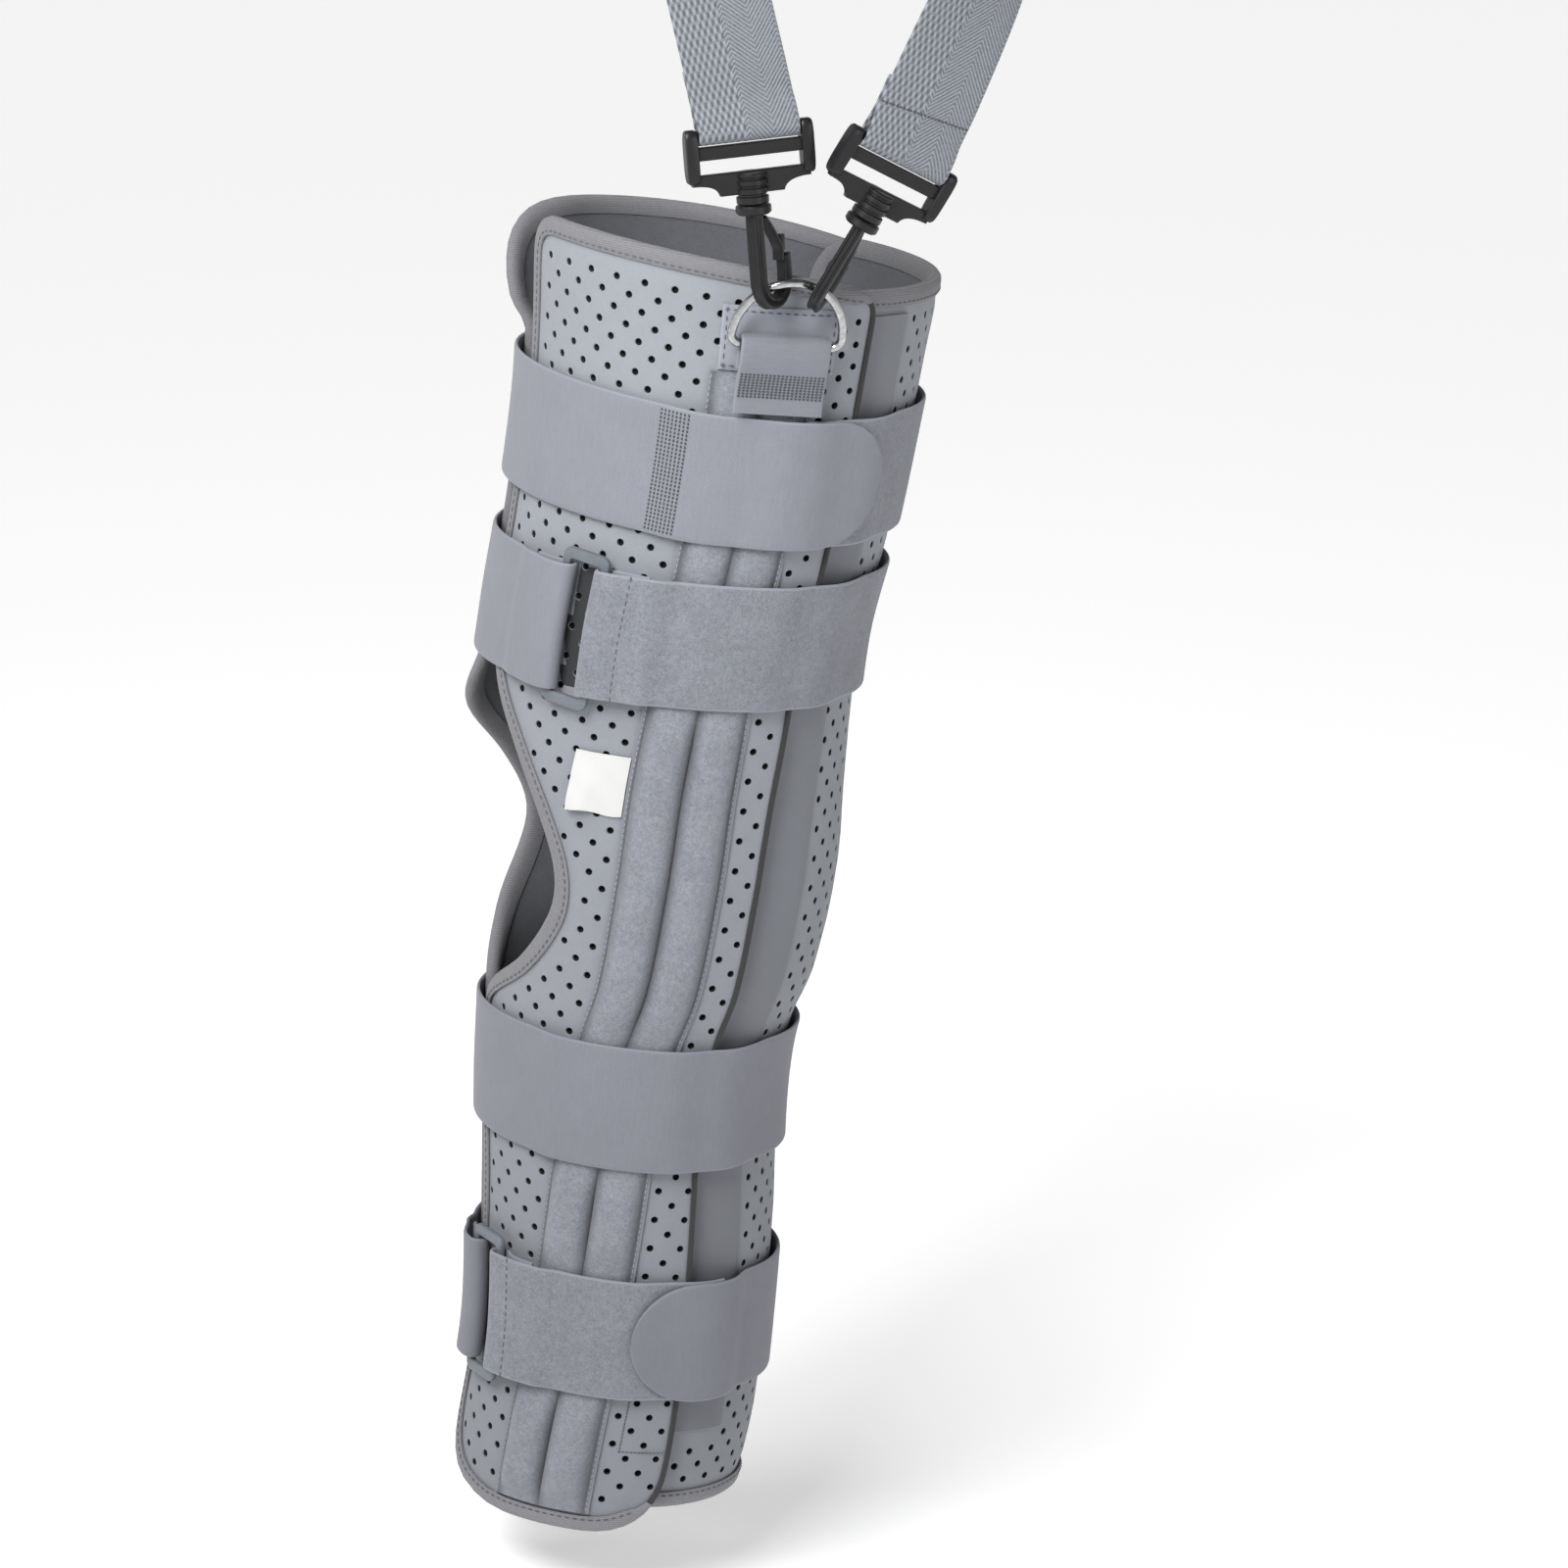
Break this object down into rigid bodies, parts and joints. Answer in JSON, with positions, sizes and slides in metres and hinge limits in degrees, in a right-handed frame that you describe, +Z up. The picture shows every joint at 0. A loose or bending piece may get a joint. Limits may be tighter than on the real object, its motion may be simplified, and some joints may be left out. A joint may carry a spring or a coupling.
{
  "type": "knee splint",
  "caption": "Padded wrap-round knee splint with an open kneecap, stay covers, wide closing straps and a shoulder strap clipped to a ring by swivel snap hooks.",
  "frame": {"origin": "on the leg axis, level with the deepest point of the kneecap window", "axes": "+Z up the leg, -X to the front of the leg, -Y to the outer side with the ring"},
  "size_m": [0.258, 0.204, 1.015],
  "materials": {
    "cloth": "perforated padded cloth",
    "binding": "folded edge tape",
    "brushed": "brushed loop cloth",
    "smooth": "smooth strap cloth",
    "label": "plain woven tape",
    "plastic": "moulded, satin",
    "black": "moulded, glossy",
    "steel": "bright plated wire",
    "webbing": "ribbed woven webbing"
  },
  "bodies": {
    "root": {"back_panel_lower": "cloth", "back_panel_middle": "cloth", "back_panel_upper": "cloth", "lateral_panel_lower": "cloth", "lateral_panel_middle": "cloth", "lateral_panel_upper": "cloth", "medial_panel_lower": "cloth", "medial_panel_middle": "cloth", "medial_panel_upper": "cloth", "back_binding": "binding", "lateral_binding": "binding", "medial_binding": "binding", "lateral_stay_cover": "brushed", "medial_stay_cover": "brushed", "thigh_strap_upper_loop": "brushed", "thigh_strap_lower_loop": "brushed", "calf_strap_lower_loop": "brushed", "loop_strip_lateral": "smooth", "loop_strip_medial": "smooth", "thigh_strap_upper": "smooth", "thigh_strap_lower": "smooth", "calf_strap_upper": "smooth", "calf_strap_lower": "smooth", "ring_patch": "smooth", "ring_tab": "smooth", "size_label": "label", "thigh_buckle": "plastic", "calf_buckle": "plastic", "front_hook_frame": "black", "rear_hook_frame": "black", "d_ring": "steel", "shoulder_strap": "webbing"},
    "front_hook": {"front_hook": "black"},
    "front_gate": {"front_gate": "black"},
    "rear_hook": {"rear_hook": "black"},
    "rear_gate": {"rear_gate": "black"}
  },
  "joints": [
    {"name": "front_swivel", "type": "hinge", "parent": "root", "child": "front_hook", "pos_m": [0.025, -0.10168, 0.22946], "axis": [-0.1736, 0, 0.9848], "range_deg": [-8, 5]},
    {"name": "front_gate_hinge", "type": "hinge", "parent": "front_hook", "child": "front_gate", "pos_m": [0.02232, -0.09717, 0.25844], "axis": [-0.8695, 0.4695, -0.1533], "range_deg": [0, 20], "stiffness_Nm_per_rad": 0.02, "springref_deg": -17.19},
    {"name": "rear_swivel", "type": "hinge", "parent": "root", "child": "rear_hook", "pos_m": [0.04471, -0.09794, 0.23057], "axis": [0.4226, 0, 0.9063], "range_deg": [-3, 20]},
    {"name": "rear_gate_hinge", "type": "hinge", "parent": "rear_hook", "child": "rear_gate", "pos_m": [0.05777, -0.09292, 0.25648], "axis": [-0.8925, 0.1736, 0.4162], "range_deg": [0, 20], "stiffness_Nm_per_rad": 0.02, "springref_deg": -17.19}
  ]
}
